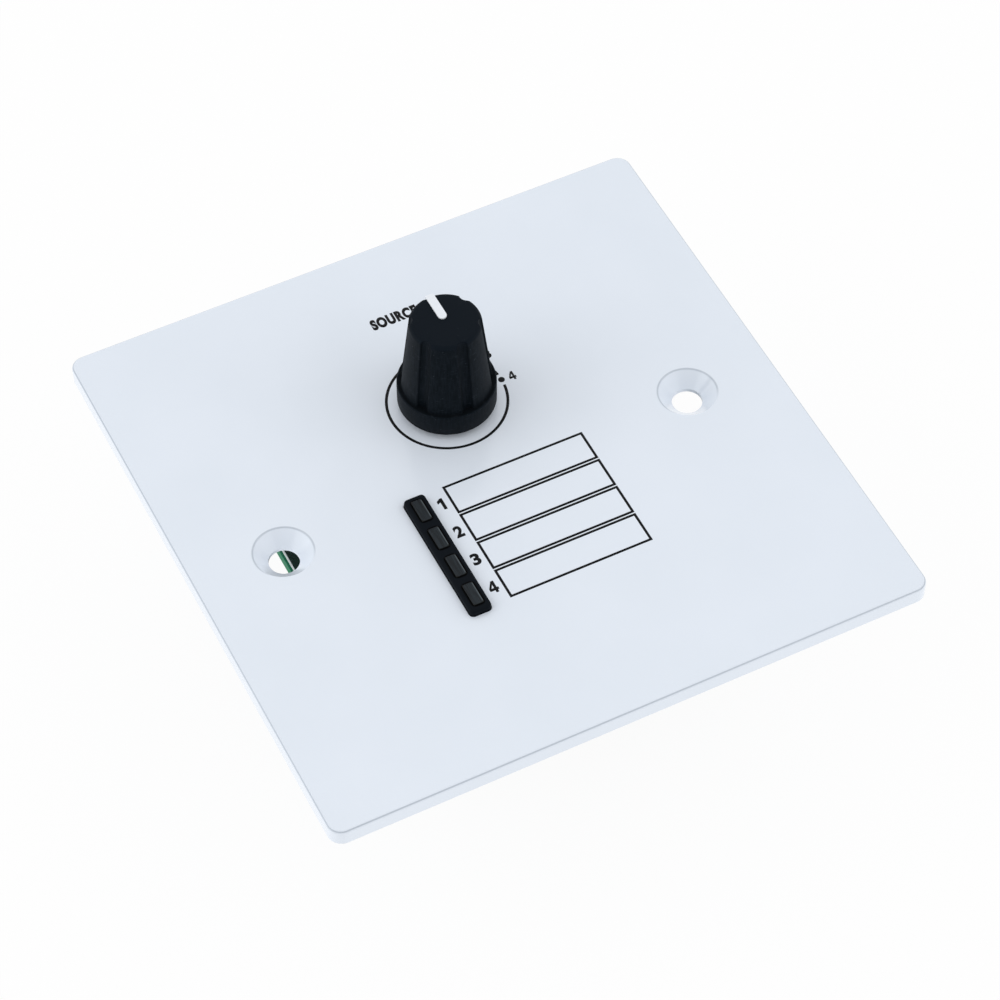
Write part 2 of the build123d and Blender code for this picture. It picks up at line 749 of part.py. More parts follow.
# Contact carrier: comb inside the jack with a foot on the board and a block at the back, whose
# two lugs snap into the shell's side windows
with BuildPart() as jack_carrier:
    with BuildSketch(jack_plane.offset(carrier_start)):
        with Locations((0, jack_floor + seat_gap)):
            Rectangle(carrier_width, carrier_slab, align=(Align.CENTER, Align.MIN))
    extrude(amount=carrier_end - carrier_start)
    with BuildSketch(jack_plane.offset(carrier_foot_start)):
        Rectangle(carrier_width, carrier_top, align=(Align.CENTER, Align.MIN))
    extrude(amount=carrier_end - carrier_foot_start)
    with BuildSketch(jack_plane.offset(carrier_back_start)):
        carrier_height = jack_floor + mouth_height - seat_gap
        Rectangle(carrier_width, carrier_height, align=(Align.CENTER, Align.MIN))
    extrude(amount=carrier_end - carrier_back_start)
    with BuildSketch(snap_plane):
        Rectangle(snap_length, snap_height)
    extrude(amount=jack_width / 2 - snap_inset, both=True)
    with BuildSketch(jack_plane.offset(carrier_slot_start)):
        with Locations(*[(x, carrier_top) for x in wire_offsets]):
            slot_height = carrier_slab - carrier_slot_floor
            Rectangle(wire_slot_width, slot_height, align=(Align.CENTER, Align.MAX))
    extrude(amount=carrier_back_start - carrier_slot_start, mode=Mode.SUBTRACT)
    with BuildSketch(Plane.XY.offset(board_bottom)):
        with Locations(*[(jack_x + x, jack_front + y) for x, y in tail_places]):
            Rectangle(wire_slot_width, wire_slot_width + 2 * wire_bend_r)
    extrude(amount=-carrier_top, mode=Mode.SUBTRACT)
save(jack_carrier.part, "jack_carrier")

# Jack contacts: eight wires, each from its tail in the board along the comb to the mouth and
# folded back into the plug's way as a spring
with BuildPart() as jack_contacts:
    for wire_x, tail in tail_places:
        wire_plane = Plane(
            origin=(jack_x + wire_x, jack_front, board_bottom), x_dir=(0, 1, 0), z_dir=(1, 0, 0)
        )
        with BuildSketch(wire_plane):
            with BuildLine():
                FilletPolyline(
                    (tail, board_thick + pin_tail),
                    (tail, -wire_level),
                    (wire_front, -wire_level),
                    (wire_tip_depth, -wire_tip_height),
                    radius=wire_bend_r,
                )
            trace(line_width=wire_side)
        extrude(amount=wire_side / 2, both=True)
save(jack_contacts.part, "jack_contacts")

# Chip resistors: flat blocks soldered to the rear of the board
with BuildPart() as chip_resistors:
    with BuildSketch(Plane.XY.offset(board_bottom)):
        with Locations(*chip_places):
            Rectangle(chip_length, chip_width)
    extrude(amount=-chip_thick)
save(chip_resistors.part, "chip_resistors")
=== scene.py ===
import math

import bmesh
import bpy
import numpy as np
from mathutils import Matrix, Vector


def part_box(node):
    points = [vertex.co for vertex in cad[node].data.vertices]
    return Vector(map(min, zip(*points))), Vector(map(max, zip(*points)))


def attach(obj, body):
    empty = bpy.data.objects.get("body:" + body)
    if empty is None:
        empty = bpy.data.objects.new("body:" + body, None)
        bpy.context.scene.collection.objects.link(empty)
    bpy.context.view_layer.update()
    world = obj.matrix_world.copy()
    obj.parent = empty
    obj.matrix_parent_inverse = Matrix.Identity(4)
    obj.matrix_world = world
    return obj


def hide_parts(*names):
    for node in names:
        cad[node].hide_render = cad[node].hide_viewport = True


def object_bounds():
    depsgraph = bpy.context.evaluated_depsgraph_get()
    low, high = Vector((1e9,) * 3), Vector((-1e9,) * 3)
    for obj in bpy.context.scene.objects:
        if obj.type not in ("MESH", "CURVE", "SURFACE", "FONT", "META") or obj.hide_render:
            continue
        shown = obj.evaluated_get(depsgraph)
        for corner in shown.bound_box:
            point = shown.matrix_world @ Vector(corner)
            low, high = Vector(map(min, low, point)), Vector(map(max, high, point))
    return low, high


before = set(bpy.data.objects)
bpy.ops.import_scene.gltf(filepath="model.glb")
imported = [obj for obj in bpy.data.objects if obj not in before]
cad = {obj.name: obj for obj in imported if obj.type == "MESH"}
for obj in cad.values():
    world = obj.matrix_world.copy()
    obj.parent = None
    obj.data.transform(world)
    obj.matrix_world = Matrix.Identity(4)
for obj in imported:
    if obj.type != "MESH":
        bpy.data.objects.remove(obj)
cad_low, cad_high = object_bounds()

# Faceplate: a square of 2.5 mm aluminium sheet with its front edge rounded over, drilled,
# countersunk and sprayed white. A grey-blue line on the front edge's rounding and round the
# countersinks' rims, faded out on their lower side, is painted shade for the dark reflection
# there. On the back the paint is a dry mist over brushed metal inside some overspray.
mm = 0.001
_, plate_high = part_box("faceplate")
plate_half = plate_high.x
face_z = plate_high.z
plate_corner_r = 2.0 * mm
fixing_x = 30.15 * mm
fixing_sink_r = 4.1 * mm
edge_shade_starts, edge_shade_ends = (-0.27 * mm, -0.17 * mm), (-0.12 * mm, -0.03 * mm)
rim_shade_fade = (0.02 * mm, 0.2 * mm)
low_rim_shade_fade = (-3.2 * mm, -0.6 * mm)


class Field:
    """A value inside one material. Operators add Math nodes, and node() adds any other."""

    def __init__(self, tree, socket):
        self.tree = tree
        self.socket = socket

    def node(self, kind, settings=None, inputs=None, output=0):
        """Adds a node, sets its settings first, then sets or links its sockets."""
        made = self.tree.nodes.new("ShaderNode" + kind)
        for name, value in (settings or {}).items():
            setattr(made, name, value)
        for name, value in (inputs or {}).items():
            if isinstance(value, Field):
                self.tree.links.new(value.socket, made.inputs[name])
            else:
                made.inputs[name].default_value = value
        return Field(self.tree, made.outputs[output])

    def math(self, operation, *values):
        """Adds a Math node on the values."""
        return self.node("Math", {"operation": operation}, dict(enumerate(values)))

    def __add__(self, other):
        return self.math("ADD", self, other)

    def __radd__(self, other):
        return self.math("ADD", other, self)

    def __sub__(self, other):
        return self.math("SUBTRACT", self, other)

    def __rsub__(self, other):
        return self.math("SUBTRACT", other, self)

    def __mul__(self, other):
        return self.math("MULTIPLY", self, other)

    def __rmul__(self, other):
        return self.math("MULTIPLY", other, self)

    def __abs__(self):
        return self.math("ABSOLUTE", self)

    def feed(self, shader, socket):
        """Links the value to a socket of a shader."""
        self.tree.links.new(self.socket, shader.inputs[socket])


def srgb(red, green, blue):
    """Linear colour of a screen colour given in steps from 0 to 255."""
    steps = np.array([red, green, blue]) / 255
    linear = np.where(steps <= 0.04045, steps / 12.92, ((steps + 0.055) / 1.055) ** 2.4)
    return (*linear.tolist(), 1.0)


def surface(name, **sockets):
    """A material whose constants sit on its shader's own sockets: it, the shader and the
    object coordinates of the surface."""
    material = bpy.data.materials.new(name)
    material.use_nodes = True
    tree = material.node_tree
    shader = tree.nodes["Principled BSDF"]
    for socket, value in sockets.items():
        shader.inputs[socket.replace("_", " ")].default_value = value
    coordinates = tree.nodes.new("ShaderNodeTexCoord").outputs["Object"]
    return material, shader, Field(tree, coordinates)


def axes(place):
    """The three numbers of a place."""
    return [place.node("SeparateXYZ", inputs={0: place}, output=axis) for axis in range(3)]


def noise(place, size, detail=2.0):
    """Smooth random value about one half, with grain of a given size along each axis."""
    scale = [1 / length for length in (size if isinstance(size, tuple) else (size, size, size))]
    scaled = place.node("VectorMath", {"operation": "MULTIPLY"}, {0: place, 1: scale})
    return place.node("TexNoise", inputs={"Vector": scaled, "Scale": 1.0, "Detail": detail})


def rise(value, low, high):
    """Nought below low, one above high and a smooth step between them."""
    inputs = {"Value": value, "From Min": low, "From Max": high}
    return value.node("MapRange", {"interpolation_type": "SMOOTHSTEP"}, inputs)


def mixed(share, first, second):
    """The first colour where the share is nought and the second where it is one."""
    return share.node("Mix", {"data_type": "RGBA"}, {0: share, 6: first, 7: second}, output=2)


def relief(height, depth):
    """Normals of a surface whose height runs from nought to a depth."""
    return height.node("Bump", inputs={"Height": height, "Distance": depth})


def dress(material, *names):
    """Puts a material on CAD nodes."""
    for name in names:
        cad[name].material_slots[0].material = material


def rounded_reach(x, y, half_x, half_y, corner_r):
    """Distance outside a rounded rectangle: how far the point lies past the straight sides,
    measured round the corner's centre, less the corner's radius."""
    past_x = abs(x) - (half_x - corner_r)
    past_y = abs(y) - (half_y - corner_r)
    out_x = past_x.math("MAXIMUM", past_x, 0.0)
    out_y = past_y.math("MAXIMUM", past_y, 0.0)
    round_part = out_x.math("SQRT", out_x * out_x + out_y * out_y)
    flat_part = past_x.math("MINIMUM", past_x.math("MAXIMUM", past_x, past_y), 0.0)
    return round_part + flat_part - corner_r


def middle_reach(x, y, centre_x, centre_y):
    """Distance in plan from a centre: the root of the squares of both offsets."""
    across = x - centre_x
    along = y - centre_y
    return across.math("SQRT", across * across + along * along)


paint, paint_shader, place = surface("white_paint")
x, y, z = axes(place)
reach = rounded_reach(x, y, plate_half, plate_half, plate_corner_r)
front = rise(z, 0.02 * mm, 0.08 * mm)
overspray = rise(reach + 5 * mm * noise(place, 0.5 * mm, 4.0), -3.5 * mm, 1.5 * mm)
mist = 0.78 + 0.16 * noise(place, (8 * mm, 1.2 * mm, 1 * mm), 5.0)
coated = front.math("MAXIMUM", front, overspray.math("MAXIMUM", overspray, mist))
on_rounding = rise(z, face_z - 0.36 * mm, face_z - 0.2 * mm)
# Painted shade: a grey-blue line on the front edge's rounding, and one round each countersink's rim that
# fades out on its lower side, stand in for the dark reflection on those roundings.
edge_shade = rise(reach, *edge_shade_starts) * (1 - rise(reach, *edge_shade_ends)) * on_rounding
sink_rim = abs(middle_reach(abs(x), y, fixing_x, 0.0) - fixing_sink_r)
rim_shade = (1 - rise(sink_rim, *rim_shade_fade)) * on_rounding * rise(y, *low_rim_shade_fade)
clouds = noise(place, 14 * mm, 3.0)
white = mixed(clouds, srgb(223, 231, 241), srgb(230, 237, 247))
white = mixed(edge_shade * 0.7 + rim_shade * 0.65, white, srgb(166, 176, 188))
brushed = noise(place, (6 * mm, 0.08 * mm, 1 * mm), 3.0)
metal = mixed(brushed, srgb(160, 163, 167), srgb(200, 202, 204))
mixed(coated, metal, white).feed(paint_shader, "Base Color")
(1 - coated).feed(paint_shader, "Metallic")
gloss = front * (0.13 + 0.06 * clouds) + (1 - front) * (0.42 + 0.2 * brushed)
gloss.feed(paint_shader, "Roughness")
peel = noise(place, 0.8 * mm, 2.0)
relief(coated * peel + (1 - coated) * brushed, 0.003 * mm).feed(paint_shader, "Normal")
dress(paint, "faceplate")

# Printing: black ink screened on to the paint in one pass, a thin film with crisp edges. It
# gives the dial ring with its four positions, a word above it, and four label boxes with
# their row numbers.
ink_film = 0.012 * mm
ink_z = face_z - 0.002 * mm
dial_x, dial_y = 0.3 * mm, 13.3 * mm
dial_ring_r = 8.24 * mm
dial_number_r = 9.84 * mm
ring_width, box_width = 0.4 * mm, 0.36 * mm
dot_r = 0.47 * mm
ring_gap = 0.97 * mm
dial_turns = np.radians([90.0, 60.0, 30.0, 0.0])
title_y, title_height, title_width = 29.9 * mm, 1.95 * mm, 7.0 * mm
dial_number_height, row_number_height = 1.52 * mm, 1.95 * mm
title_weight, number_weight = 0.065, 0.045
letter_spacing = 1.15
font_number_shape, drawn_number_shape = 0.62, 0.66
row_steps = np.arange(4)
box_left, box_right = -6.7 * mm, 13.9 * mm
box_height, box_pitch = 4.6 * mm, 5.13 * mm
box_centres = -2.2 * mm - box_pitch * row_steps
row_x, row_pitch = -8.15 * mm, 5.08 * mm
row_centres = -2.3 * mm - row_pitch * row_steps


def skin(points, wrap_columns=False):
    """Faces of a grid: each joins four neighbouring points, and a wrap joins last to first."""
    rows, columns = points.shape[:2]
    index = np.arange(rows * columns).reshape(rows, columns)
    if wrap_columns:
        index = np.hstack([index, index[:, :1]])
    corners = [index[:-1, :-1], index[:-1, 1:], index[1:, 1:], index[1:, :-1]]
    return points.reshape(-1, 3), np.stack(corners, axis=-1).reshape(-1, 4)


def levelled(flat, level):
    """Points in plan, all put at one level."""
    return np.concatenate([flat, np.full((*flat.shape[:-1], 1), level)], axis=-1)


def piece(name, skins, material, body, slot=None, crease=35.0, film=0.0, **marks):
    """One object made of several skins, in place: joined, welded where points meet, smooth up
    to the crease angle, and thickened outwards if it is a film. Marks are numbers kept for
    each point."""
    starts = np.cumsum([0] + [len(points) for points, _ in skins])
    points = np.concatenate([points for points, _ in skins])
    faces = [face for (_, grid), start in zip(skins, starts) for face in (grid + start).tolist()]
    mesh = bpy.data.meshes.new(name)
    mesh.from_pydata(points.tolist(), [], faces)
    for mark, values in marks.items():
        layer = mesh.attributes.new(mark, "FLOAT", "POINT")
        layer.data.foreach_set("value", np.asarray(values, np.float32).ravel())
    welded = bmesh.new()
    welded.from_mesh(mesh)
    bmesh.ops.remove_doubles(welded, verts=welded.verts, dist=1e-7)
    bmesh.ops.dissolve_degenerate(welded, edges=welded.edges, dist=1e-8)
    welded.to_mesh(mesh)
    welded.free()
    mesh.polygons.foreach_set("use_smooth", np.ones(len(mesh.polygons), bool))
    mesh.set_sharp_from_angle(angle=math.radians(crease))
    mesh.materials.append(material)
    made = bpy.data.objects.new(name, mesh)
    bpy.context.scene.collection.objects.link(made)
    if film:
        shell = made.modifiers.new("film", "SOLIDIFY")
        shell.thickness = film
        shell.offset = 1.0
    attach(made, body)
    return made


def arc_band(centre_x, centre_y, radius, width, start, end, level):
    """Flat band along an arc: two circles half a width either side of the radius, with a
    point every two degrees."""
    turn = np.linspace(start, end, 2 + int(np.degrees(end - start) / 2))
    across = radius + np.array([[0.5], [-0.5]]) * width
    flat = np.stack([centre_x + across * np.cos(turn), centre_y + across * np.sin(turn)], axis=-1)
    return skin(levelled(flat, level))


def disc(centre_x, centre_y, radius, level):
    """Flat disc: rings of points from the edge in to the centre."""
    turn = np.linspace(0, 2 * np.pi, 32, endpoint=False)
    across = np.array([[1.0], [0.5], [0.0]]) * radius
    flat = np.stack([centre_x + across * np.cos(turn), centre_y + across * np.sin(turn)], axis=-1)
    return skin(levelled(flat, level), wrap_columns=True)


def box_line(left, right, low, high, width, level):
    """Line round a rectangle: its corners moved out and in by half the width, then joined."""
    corners = np.array([[left, low], [right, low], [right, high], [left, high]])
    outward = np.array([[-1, -1], [1, -1], [1, 1], [-1, 1]]) * width / 2
    return skin(levelled(np.stack([corners + outward, corners - outward]), level), wrap_columns=True)


def lettering(words, centre_x, centre_y, height, width, level, weight):
    """Flat letters: the font's outlines set a little apart, made heavier by a weight and filled,
    then scaled to a height and a width about a centre."""
    curve = bpy.data.curves.new("lettering", "FONT")
    curve.body = words
    curve.offset = weight
    curve.space_character = letter_spacing
    setting = bpy.data.objects.new("lettering", curve)
    mesh = bpy.data.meshes.new_from_object(setting)
    mesh.calc_loop_triangles()
    points = np.empty(len(mesh.vertices) * 3)
    mesh.vertices.foreach_get("co", points)
    triangles = np.empty(len(mesh.loop_triangles) * 3, np.int32)
    mesh.loop_triangles.foreach_get("vertices", triangles)
    flat = points.reshape(-1, 3)[:, :2]
    low, high = flat.min(axis=0), flat.max(axis=0)
    flat = (flat - (low + high) / 2) / (high - low) * [width, height] + [centre_x, centre_y]
    bpy.data.objects.remove(setting)
    bpy.data.curves.remove(curve)
    bpy.data.meshes.remove(mesh)
    return levelled(flat, level), triangles.reshape(-1, 3)


def numeral(number, centre_x, centre_y, height, level):
    """A bold figure. The font's four closes up when it is made heavier and its one has no
    flag, so these two are drawn in sixths of their width and height."""
    if number in (2, 3):
        width = height * font_number_shape
        return lettering(str(number), centre_x, centre_y, height, width, level, number_weight)
    if number == 1:
        corners = [(2.9, 0), (5, 0), (5, 6), (3.4, 6), (0.9, 4.9), (0.9, 3.5), (2.9, 4.1)]
        faces = [(0, 1, 2), (0, 2, 6), (6, 2, 3), (6, 3, 4), (6, 4, 5)]
    else:
        corners = [(0, 1.2), (3.2, 1.2), (3.2, 0), (5, 0), (5, 1.2), (6, 1.2), (6, 2.5), (5, 2.5),
                   (5, 6), (3.2, 6), (0, 2.5), (1.6, 2.5), (3.2, 2.5), (3.2, 4.3)]
        faces = [(0, 1, 12), (0, 12, 11), (0, 11, 10), (10, 11, 13), (10, 13, 9), (9, 13, 8),
                 (13, 12, 8), (12, 7, 8), (12, 1, 7), (1, 4, 7), (1, 2, 4), (2, 3, 4), (4, 5, 7),
                 (5, 6, 7)]
    size = [height * drawn_number_shape, height]
    flat = (np.array(corners) / 6 - 0.5) * size + [centre_x, centre_y]
    return levelled(flat, level), np.array(faces)


ink, ink_shader, place = surface("printing_ink", Specular_IOR_Level=0.15)
mottle = noise(place, 0.25 * mm, 3.0)
mixed(mottle, srgb(3, 4, 6), srgb(14, 16, 20)).feed(ink_shader, "Base Color")
(0.45 + 0.2 * mottle).feed(ink_shader, "Roughness")
relief(mottle, 0.002 * mm).feed(ink_shader, "Normal")

gap_turn = ring_gap / dial_ring_r
ring_turns = np.append(dial_turns, dial_turns[0] - 2 * np.pi)
dial_marks = [
    arc_band(dial_x, dial_y, dial_ring_r, ring_width, low + gap_turn, high - gap_turn, ink_z)
    for high, low in zip(ring_turns, ring_turns[1:])
]
dial_marks += [
    disc(dial_x + dial_ring_r * math.cos(turn), dial_y + dial_ring_r * math.sin(turn), dot_r, ink_z)
    for turn in dial_turns
]
piece("dial_ring", dial_marks, ink, "wall_unit", film=ink_film)
dial_numbers = [
    numeral(number, dial_x + dial_number_r * math.cos(turn), dial_y + dial_number_r * math.sin(turn),
            dial_number_height, ink_z)
    for number, turn in enumerate(dial_turns, start=1)
]
piece("dial_numbers", dial_numbers, ink, "wall_unit", film=ink_film)
title = lettering("SOURCE", dial_x, title_y, title_height, title_width, ink_z, title_weight)
piece("dial_word", [title], ink, "wall_unit", film=ink_film)
label_lines = [
    box_line(box_left, box_right, y_mid - box_height / 2, y_mid + box_height / 2, box_width, ink_z)
    for y_mid in box_centres
]
piece("label_boxes", label_lines, ink, "wall_unit", film=ink_film)
row_numbers = [
    numeral(row, row_x, y_mid, row_number_height, ink_z)
    for row, y_mid in enumerate(row_centres, start=1)
]
piece("row_numbers", row_numbers, ink, "wall_unit", film=ink_film)

# Lamp strip: one moulded block of black plastic that comes up through the slot, with four
# rectangular lamps of smoke-tinted resin set into its wells a little proud of the top.
lamp_x, lamp_y = -11.3 * mm, -10.37 * mm
lamp_pitch = 5.08 * mm
lens_half_width, lens_half_length = 0.75 * mm, 1.8 * mm
lens_corner_r = 0.45 * mm
lens_highlight_width, lens_edge_shade_width = 0.24 * mm, 0.1 * mm
well_shade_fade = (0.16 * mm, 0.34 * mm)


def lamp_reach(place):
    """Distance outside the nearest lamp's rounded outline. The lamps lie half a pitch either
    side of places one pitch apart, so the offset along the strip comes from a zigzag."""
    x, y, _ = axes(place)
    along = y - lamp_y
    along = along.math("PINGPONG", along, lamp_pitch) - lamp_pitch / 2
    return rounded_reach(x - lamp_x, along, lens_half_width, lens_half_length, lens_corner_r)


strip, strip_shader, place = surface("lamp_black", Specular_IOR_Level=0.035)
# Painted shade: the black block is taken nearly to black in a band round each lamp's outline, standing
# in for the shade in the wells.
well_shade = 1 - rise(lamp_reach(place), *well_shade_fade)
grain = noise(place, 0.09 * mm, 3.0)
block = mixed(grain, srgb(9, 13, 18), srgb(20, 25, 31))
mixed(well_shade, block, srgb(1, 1, 2)).feed(strip_shader, "Base Color")
(0.44 + 0.16 * grain).feed(strip_shader, "Roughness")
relief(grain, 0.004 * mm).feed(strip_shader, "Normal")
dress(strip, "led_housing")

lens, lens_shader, place = surface("lamp_lens", Specular_IOR_Level=0.2)
streaks = noise(place, (0.16 * mm, 2.4 * mm, 1 * mm), 3.0)
flecks = noise(place, 0.2 * mm, 2.0)
resin = mixed(rise(streaks, 0.3, 0.7), srgb(11, 17, 22), srgb(32, 40, 46))
resin = mixed(rise(flecks, 0.6, 0.78) * 0.4, resin, srgb(62, 74, 78))
# Painted highlight: a pale band along one long edge of each lens, where its proud edge catches the
# light.
across = axes(place)[0] - lamp_x
lens_highlight = rise(across, lens_half_width - lens_highlight_width, lens_half_width - lens_edge_shade_width)
resin = mixed(lens_highlight * 0.5, resin, srgb(110, 120, 126))
# Painted shade: each lens's outline and flanks are taken nearly to black, for the shaded sides of the
# proud lens.
lens_edge_shade = rise(lamp_reach(place), -lens_edge_shade_width, 0.02 * mm)
mixed(lens_edge_shade, resin, srgb(2, 3, 4)).feed(lens_shader, "Base Color")
(0.3 + 0.2 * streaks).feed(lens_shader, "Roughness")
relief(streaks, 0.004 * mm).feed(lens_shader, "Normal")
dress(lens, "led_lens_1", "led_lens_2", "led_lens_3", "led_lens_4")

# Knob: moulded in black and dipped in a soft-touch coat, with a plain skirt, a ledge and a
# tapered body whose six flutes are a little deeper at the foot. It is pushed on to the D-shaft,
# and its skirt reaches a little past the solid's.
knob_low, knob_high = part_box("knob_body")
skirt_past = 0.1 * mm
knob_foot_z, knob_top_z = knob_low.z - skirt_past, knob_high.z
skirt_r = (knob_high.x - knob_low.x) / 2 + skirt_past
ledge_z = knob_foot_z + 3.5 * mm
body_base_r, body_top_r = skirt_r - 0.55 * mm, 4.87 * mm
top_round_r, skirt_round_r, foot_round_r = 0.6 * mm, 0.2 * mm, 0.1 * mm
nut_room_r, nut_room_z = skirt_r - 0.7 * mm, knob_foot_z + 1.7 * mm
neck_r, neck_z = 3.8 * mm, knob_foot_z + 3.8 * mm
bore_r, bore_z = 3.05 * mm, knob_top_z - 2.4 * mm
flute_count = 6
flute_r = 0.95 * mm
flute_foot_depth, flute_head_depth = 0.6 * mm, 0.55 * mm
first_flute = math.radians(91.75)
flute_lip = 0.12 * mm
flute_climb = 6.0
crease_shade_depth, crease_shade_spread, crease_shade_height = 0.17 * mm, 0.13 * mm, 0.36 * mm
knob_columns = 576


def fluted(turn, taper_r, share):
    """Distance from the axis, and how near the point is to a lip: the taper's radius, or the
    flute's near wall where that is less, eased into each other. A flute is a leaning round bar
    of radius a, centred c from the axis, so a ray at angle t to it meets its wall at
    c cos t - sqrt(a^2 - c^2 sin^2 t), and beside the bar the wall climbs steeply."""
    pitch = 2 * np.pi / flute_count
    offset = (turn - first_flute + pitch / 2) % pitch - pitch / 2
    foot_c = body_base_r - flute_foot_depth + flute_r
    head_c = body_top_r - flute_head_depth + flute_r
    centre = foot_c + (head_c - foot_c) * share
    aside = np.abs(centre * np.sin(offset))
    wall = centre * np.cos(offset) - np.sqrt(np.clip(flute_r**2 - aside**2, 0, None))
    wall = wall + flute_climb * np.clip(aside - flute_r, 0, None)
    ease = np.clip(0.5 + 0.5 * (wall - taper_r) / flute_lip, 0, 1)
    lip = ease * (1 - ease)
    return wall * (1 - ease) + taper_r * ease - flute_lip * lip, 4 * lip


def rounding(centre_r, centre_z, radius, start, end, count):
    """Points of a rounded corner: its centre plus the radius times cosine and sine."""
    turn = np.radians(np.linspace(start, end, count))
    return np.stack([centre_r + radius * np.cos(turn), centre_z + radius * np.sin(turn)], axis=-1)


turns = np.linspace(0, 2 * np.pi, knob_columns, endpoint=False)
underside = [
    (0, bore_z), (bore_r, bore_z), (bore_r, neck_z), (neck_r, neck_z), (neck_r, nut_room_z),
    (nut_room_r, nut_room_z), (nut_room_r, knob_foot_z),
]
plain = np.concatenate([
    underside,
    rounding(skirt_r - foot_round_r, knob_foot_z + foot_round_r, foot_round_r, -90, 0, 4),
    rounding(skirt_r - skirt_round_r, ledge_z - skirt_round_r, skirt_round_r, 0, 90, 6),
])
taper = (body_base_r - body_top_r) / (knob_top_z - ledge_z)
lean = math.atan(taper)
round_z = knob_top_z - top_round_r
round_r = body_base_r - taper * (round_z - ledge_z) - top_round_r / math.cos(lean)
foot_levels = ledge_z + np.array([0.0, 0.05, 0.12, 0.25]) * mm
foot_flare = np.array([0.1, 0.03, 0.01, 0.0])[:, None] * mm
side_levels = np.concatenate([foot_levels, np.linspace(ledge_z + 0.5 * mm, round_z, 28)])
sides = np.stack([body_base_r - taper * (side_levels - ledge_z), side_levels], axis=-1)
body = np.concatenate([sides, rounding(round_r, round_z, top_round_r, math.degrees(lean), 90, 9)])
share = (body[:, 1:] - ledge_z) / (knob_top_z - ledge_z)
body_r, lip = fluted(turns, body[:, :1], share)
body_r[: len(foot_flare)] += foot_flare
crown = np.array([[0.66], [0.33], [0.0]]) * body_r[-1:]
ones = np.ones((1, turns.size))
radii = np.concatenate([plain[:, :1] * ones, body_r, crown])
levels = np.concatenate([plain[:, 1:] * ones, body[:, 1:] * ones, knob_top_z * np.ones_like(crown)])
knob_grid = np.stack([dial_x + radii * np.cos(turns), dial_y + radii * np.sin(turns), levels], axis=-1)
sunk = body[:, :1] - body_r
# Painted shade, kept for each point: a thin dark line along the walls of each flute, at a set depth in
# it, and a dark band in the corner where the body meets the ledge.
flute_wall = np.clip(1 - np.abs(sunk - crease_shade_depth) / crease_shade_spread, 0, 1)
above_ledge = np.clip((body[:, 1:] - ledge_z) / crease_shade_height, 0, 1)
soil = np.maximum(0.75 * flute_wall, (1 - above_ledge) * ones)
rubbed = np.concatenate([0 * plain[:, :1] * ones, lip, 0 * crown])
soiled = np.concatenate([0 * plain[:-2, :1] * ones, 0.25 * ones, 0.7 * ones, soil, 0 * crown])

soft_touch, soft_shader, place = surface("soft_touch_black", Specular_IOR_Level=0.105,
                                           Specular_Tint=(0.62, 0.82, 1.0, 1.0))
z = axes(place)[2]
about_axis = place.node("Mapping", inputs={"Vector": place, "Location": (-dial_x, -dial_y, 0)})
drawn = noise(about_axis, (0.2 * mm, 0.2 * mm, 3.0 * mm), 4.0)
pores = noise(about_axis, 0.14 * mm, 3.0)
dust = rise(noise(about_axis, 0.32 * mm, 4.0), 0.7, 0.76)
scuffs = rise(noise(about_axis, (1.1 * mm, 1.1 * mm, 0.13 * mm), 3.0), 0.6, 0.72)
worn = place.node("Attribute", {"attribute_name": "rubbed"}, output=2)
painted_shade = place.node("Attribute", {"attribute_name": "soiled"}, output=2)
# Painted light: the crown and the flanks of the one coat take separate base tones, set for how light
# falls on each. The same mask keeps the scuffs and rubbed lips to the handled flanks.
flank_wear_and_light = 1 - rise(z, round_z - 0.3 * mm, knob_top_z - 0.1 * mm)
side_colour = mixed(rise(drawn, 0.34, 0.66), srgb(0, 3, 6), srgb(10, 15, 21))
coat_colour = mixed(flank_wear_and_light, srgb(8, 13, 20), side_colour)
coat_colour = mixed(worn * flank_wear_and_light * 0.03, coat_colour, srgb(60, 66, 74))
coat_colour = mixed(scuffs * flank_wear_and_light * 0.3, coat_colour, srgb(58, 64, 72))
coat_colour = mixed(dust * 0.5, coat_colour, srgb(96, 104, 112))
# The painted shade from the per-point mark takes the coat nearly to black and roughens it.
mixed(painted_shade * 0.9, coat_colour, srgb(4, 5, 7)).feed(soft_shader, "Base Color")
(0.48 + 0.22 * pores + 0.3 * painted_shade).feed(soft_shader, "Roughness")
relief(0.6 * drawn + 0.4 * pores, 0.014 * mm).feed(soft_shader, "Normal")
knob = piece("knob", [skin(knob_grid, wrap_columns=True)], soft_touch, "selector",
             slot="black_soft_touch", crease=38.0, rubbed=rubbed, soiled=soiled)
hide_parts("knob_body")

# Pointer: a white insert moulded through the knob's top and over its rim, flush at the side
# and a little proud on top.
pointer, pointer_shader, place = surface("white_insert")
tint = noise(place, 0.5 * mm, 3.0)
mixed(tint, srgb(224, 230, 238), srgb(240, 244, 249)).feed(pointer_shader, "Base Color")
(0.4 + 0.14 * tint).feed(pointer_shader, "Roughness")
relief(noise(place, 0.1 * mm), 0.003 * mm).feed(pointer_shader, "Normal")
dress(pointer, "knob_pointer")


# Switch metalwork: a die-cast zinc bushing, a nickel-plated nut and washer that clamp it to
# the plate, a turned aluminium D-shaft, and plated rivets, springs and balls.
def metalwork(name, dark, light, size, rough):
    """Bare metal whose colour and gloss follow tool marks of a given size along each axis."""
    material, shader, where = surface(name, Metallic=1.0)
    marks = noise(where, size, 4.0)
    mixed(marks, dark, light).feed(shader, "Base Color")
    (rough + 0.2 * marks).feed(shader, "Roughness")
    relief(marks, 0.004 * mm).feed(shader, "Normal")
    return material


